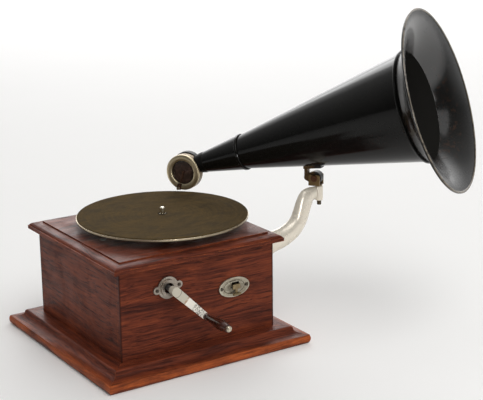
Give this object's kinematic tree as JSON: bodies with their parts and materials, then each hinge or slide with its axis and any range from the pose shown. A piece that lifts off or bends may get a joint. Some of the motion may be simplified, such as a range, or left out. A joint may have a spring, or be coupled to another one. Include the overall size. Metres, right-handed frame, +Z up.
{
  "type": "gramophone",
  "caption": "Disc gramophone with a square oak case on a moulded plinth, felt turntable, side crank, and a black horn with a sound box carried by a curved arm.",
  "frame": {"origin": "centre of the square underside, on the surface that it stands on", "axes": "+Z up, -Y out of the face with the crank and the control plate, +X towards the side with the horn arm"},
  "size_m": [0.6211, 0.4879, 0.4816],
  "materials": {
    "oak": "stained and varnished oak",
    "grip_wood": "dark turned wood",
    "nickel": "worn nickel plate",
    "steel": "dull steel",
    "spring_steel": "blued spring steel",
    "brass": "aged brass",
    "arm_alloy": "champagne enamel on cast iron",
    "black_japan": "gloss black japan",
    "felt": "olive brown felt",
    "pad_felt": "hard felt",
    "mica": "mica sheet",
    "rubber": "black rubber",
    "weight_metal": "plain cast weights"
  },
  "bodies": {
    "case": {"plinth_mouldings": "oak", "bottom_board": "oak", "wood_screws": "steel", "front_panel": "oak", "back_panel": "oak", "side_panels": "oak", "corner_blocks": "oak", "top_board": "oak", "crank_escutcheon": "steel", "front_screws": "nickel", "control_plate": "nickel", "horn_arm": "arm_alloy", "motor_bolts": "steel", "motor_nuts": "steel", "motor_spacers": "steel", "motor_top_plate": "brass", "motor_bottom_plate": "brass", "motor_pillars": "steel", "winding_bearing": "steel", "footstep_bearing": "steel", "brake_bracket": "steel"},
    "crank": {"winding_shaft": "steel", "crank_arm": "nickel", "bevel_pinion": "steel", "handle_pin": "nickel"},
    "crank_handle": {"crank_grip": "grip_wood"},
    "arbor": {"winding_arbor": "steel", "bevel_wheel": "brass", "ratchet_wheel": "steel"},
    "click": {"ratchet_click": "steel"},
    "barrel": {"barrel_drum": "brass", "barrel_cover": "brass", "mainspring": "spring_steel"},
    "intermediate": {"intermediate_pinion": "steel", "intermediate_wheel": "brass"},
    "turntable": {"turntable_pan": "nickel", "turntable_felt": "felt", "turntable_hub": "steel", "spindle": "nickel", "governor_drive_wheel": "brass"},
    "governor": {"governor_shaft": "steel", "governor_disc": "brass", "governor_springs": "spring_steel", "governor_weights": "weight_metal"},
    "brake": {"brake_lever": "brass", "brake_pad": "pad_felt"},
    "swivel": {"swivel_fork": "brass", "tilt_screw": "brass"},
    "horn": {"horn_bell": "black_japan", "horn_cone": "black_japan", "horn_sleeve": "black_japan", "horn_elbow": "black_japan", "horn_bracket": "black_japan"},
    "sound_box": {"sound_box_body": "nickel", "sound_box_bezel": "nickel", "diaphragm": "mica", "gaskets": "rubber"},
    "stylus": {"stylus_bar": "steel", "needle": "nickel"},
    "needle_clamp": {"needle_screw": "nickel"}
  },
  "joints": [
    {"name": "turntable_spin", "type": "hinge", "parent": "case", "child": "turntable", "pos_m": [0.0162, 0, 0.17], "axis": [0, 0, -1], "continuous": true},
    {"name": "intermediate_spin", "type": "hinge", "parent": "case", "child": "intermediate", "pos_m": [-0.01263, 0.00933, 0.1], "axis": [0, 0, -1], "continuous": true},
    {"name": "barrel_spin", "type": "hinge", "parent": "case", "child": "barrel", "pos_m": [-0.051, -0.02, 0.09], "axis": [0, 0, -1], "continuous": true},
    {"name": "governor_spin", "type": "hinge", "parent": "case", "child": "governor", "pos_m": [0.04069, -0.01715, 0.1], "axis": [0, 0, -1], "continuous": true},
    {"name": "crank_turn", "type": "hinge", "parent": "case", "child": "crank", "pos_m": [-0.051, -0.082, 0.1195], "axis": [0, 1, 0], "continuous": true},
    {"name": "arbor_turn", "type": "hinge", "parent": "case", "child": "arbor", "pos_m": [-0.051, -0.02, 0.09], "axis": [0, 0, 1], "continuous": true},
    {"name": "handle_spin", "type": "hinge", "parent": "crank", "child": "crank_handle", "pos_m": [-0.00406, -0.18, 0.07353], "axis": [0, 1, 0], "continuous": true},
    {"name": "click_lift", "type": "hinge", "parent": "case", "child": "click", "pos_m": [-0.06514, -0.00586, 0.138], "axis": [0, 0, 1], "range_deg": [0, 12], "stiffness_Nm_per_rad": 0.01},
    {"name": "brake_swing", "type": "hinge", "parent": "case", "child": "brake", "pos_m": [0.0595, -0.104, 0.102], "axis": [0, 0, 1], "range_deg": [-10, 10]},
    {"name": "horn_swivel", "type": "hinge", "parent": "case", "child": "swivel", "pos_m": [0.239, -0.086, 0.2], "axis": [0, 0, 1], "range_deg": [-25, 21]},
    {"name": "horn_tilt", "type": "hinge", "parent": "swivel", "child": "horn", "pos_m": [0.23626, -0.08182, 0.2228], "axis": [0.8368, 0.5476, 0], "range_deg": [0, 25]},
    {"name": "sound_box_turn", "type": "hinge", "parent": "horn", "child": "sound_box", "pos_m": [0.12077, 0.10015, 0.2139], "axis": [0.8368, 0.5476, 0], "range_deg": [0, 90]},
    {"name": "stylus_rock", "type": "hinge", "parent": "sound_box", "child": "stylus", "pos_m": [0.10287, 0.09536, 0.19226], "axis": [0.5289, -0.8083, -0.2588], "range_deg": [-0.5, 0.5], "stiffness_Nm_per_rad": 0.05},
    {"name": "needle_screw_turn", "type": "hinge", "parent": "stylus", "child": "needle_clamp", "pos_m": [0.09946, 0.09437, 0.1884], "axis": [-0.8368, -0.5476, 0], "continuous": true}
  ],
  "couplings": [
    {"joint": "intermediate_spin", "follows": "turntable_spin", "ratio": -0.25},
    {"joint": "barrel_spin", "follows": "turntable_spin", "ratio": 0.05},
    {"joint": "governor_spin", "follows": "turntable_spin", "ratio": -6.4},
    {"joint": "arbor_turn", "follows": "crank_turn", "ratio": -0.5}
  ]
}
